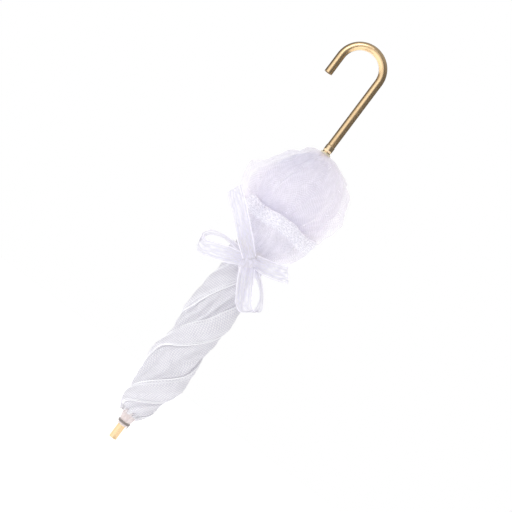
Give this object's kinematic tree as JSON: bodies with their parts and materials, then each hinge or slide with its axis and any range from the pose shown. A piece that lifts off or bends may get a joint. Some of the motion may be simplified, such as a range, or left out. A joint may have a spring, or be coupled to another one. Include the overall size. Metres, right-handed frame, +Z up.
{
  "type": "furled lace parasol",
  "caption": "Miniature furled parasol: brass tube shaft with a hook handle, twisted woven canopy, gathered lace ruffle and an organza bow at the neck.",
  "frame": {"origin": "centre of the tube's lower end, at the tip of the furled parasol", "axes": "+Z runs up the shaft from the tip to the hook, the hook bends towards -X, and -Y is the side with the bow"},
  "size_m": [0.0412, 0.0409, 0.176],
  "materials": {
    "brass": "bright drawn tube with fine lengthwise draw lines, lightly tarnished",
    "clear_sleeve": "thin translucent film, pinkish white",
    "grey_thread": "fine grey thread",
    "woven_cloth": "white plain weave with a soft sheen",
    "hem_cord": "bright white satin piping",
    "cream_thread": "cream cotton thread",
    "lace_net": "sheer white net, in many layers",
    "organza": "sheer crinkled organza with satin edges"
  },
  "bodies": {
    "handle": {"handle_tube": "brass", "handle_spigot": "brass"},
    "parasol": {"shaft_tube": "brass", "collar": "brass", "tip_sleeve": "clear_sleeve", "tip_binding": "grey_thread", "canopy_core": "woven_cloth", "canopy_lobe_front": "woven_cloth", "canopy_lobe_back": "woven_cloth", "canopy_fold_left": "woven_cloth", "canopy_fold_right": "woven_cloth", "hem_front_upper": "hem_cord", "hem_front_lower": "hem_cord", "hem_back_upper": "hem_cord", "hem_back_lower": "hem_cord", "neck_binding": "cream_thread", "lace_lower_tier": "lace_net", "lace_inner_puff": "lace_net", "lace_upper_tier": "lace_net", "lace_gather_thread": "hem_cord"},
    "ribbon": {"ribbon_band": "organza", "ribbon_knot": "organza"},
    "tail_upper": {"bow_tail_upper": "organza"},
    "tail_right": {"bow_tail_right": "organza"},
    "loop_left": {"bow_loop_left": "organza"},
    "loop_lower": {"bow_loop_lower": "organza"}
  },
  "joints": [
    {"name": "parasol_turn", "type": "hinge", "parent": "handle", "child": "parasol", "pos_m": [0, 0, 0.1334], "axis": [0, 0, 1], "continuous": true},
    {"name": "ribbon_turn", "type": "hinge", "parent": "parasol", "child": "ribbon", "pos_m": [0, 0, 0.083], "axis": [0, 0, 1], "continuous": true},
    {"name": "tail_upper_flex", "type": "hinge", "parent": "ribbon", "child": "tail_upper", "pos_m": [-0.0022, -0.0124, 0.0866], "axis": [0.6, 0, 0.8], "range_deg": [0, 45], "stiffness_Nm_per_rad": 0.0001},
    {"name": "tail_right_flex", "type": "hinge", "parent": "ribbon", "child": "tail_right", "pos_m": [0.0038, -0.0112, 0.084], "axis": [0.22, 0, -0.9755], "range_deg": [0, 45], "stiffness_Nm_per_rad": 0.0001},
    {"name": "loop_left_flex", "type": "hinge", "parent": "ribbon", "child": "loop_left", "pos_m": [-0.0026, -0.0116, 0.0824], "axis": [-0.15, 0, 0.9887], "range_deg": [-8, 40], "stiffness_Nm_per_rad": 0.0001},
    {"name": "loop_lower_flex", "type": "hinge", "parent": "ribbon", "child": "loop_lower", "pos_m": [0.0022, -0.012, 0.0784], "axis": [-0.78, 0, -0.6258], "range_deg": [0, 45], "stiffness_Nm_per_rad": 0.0001}
  ]
}
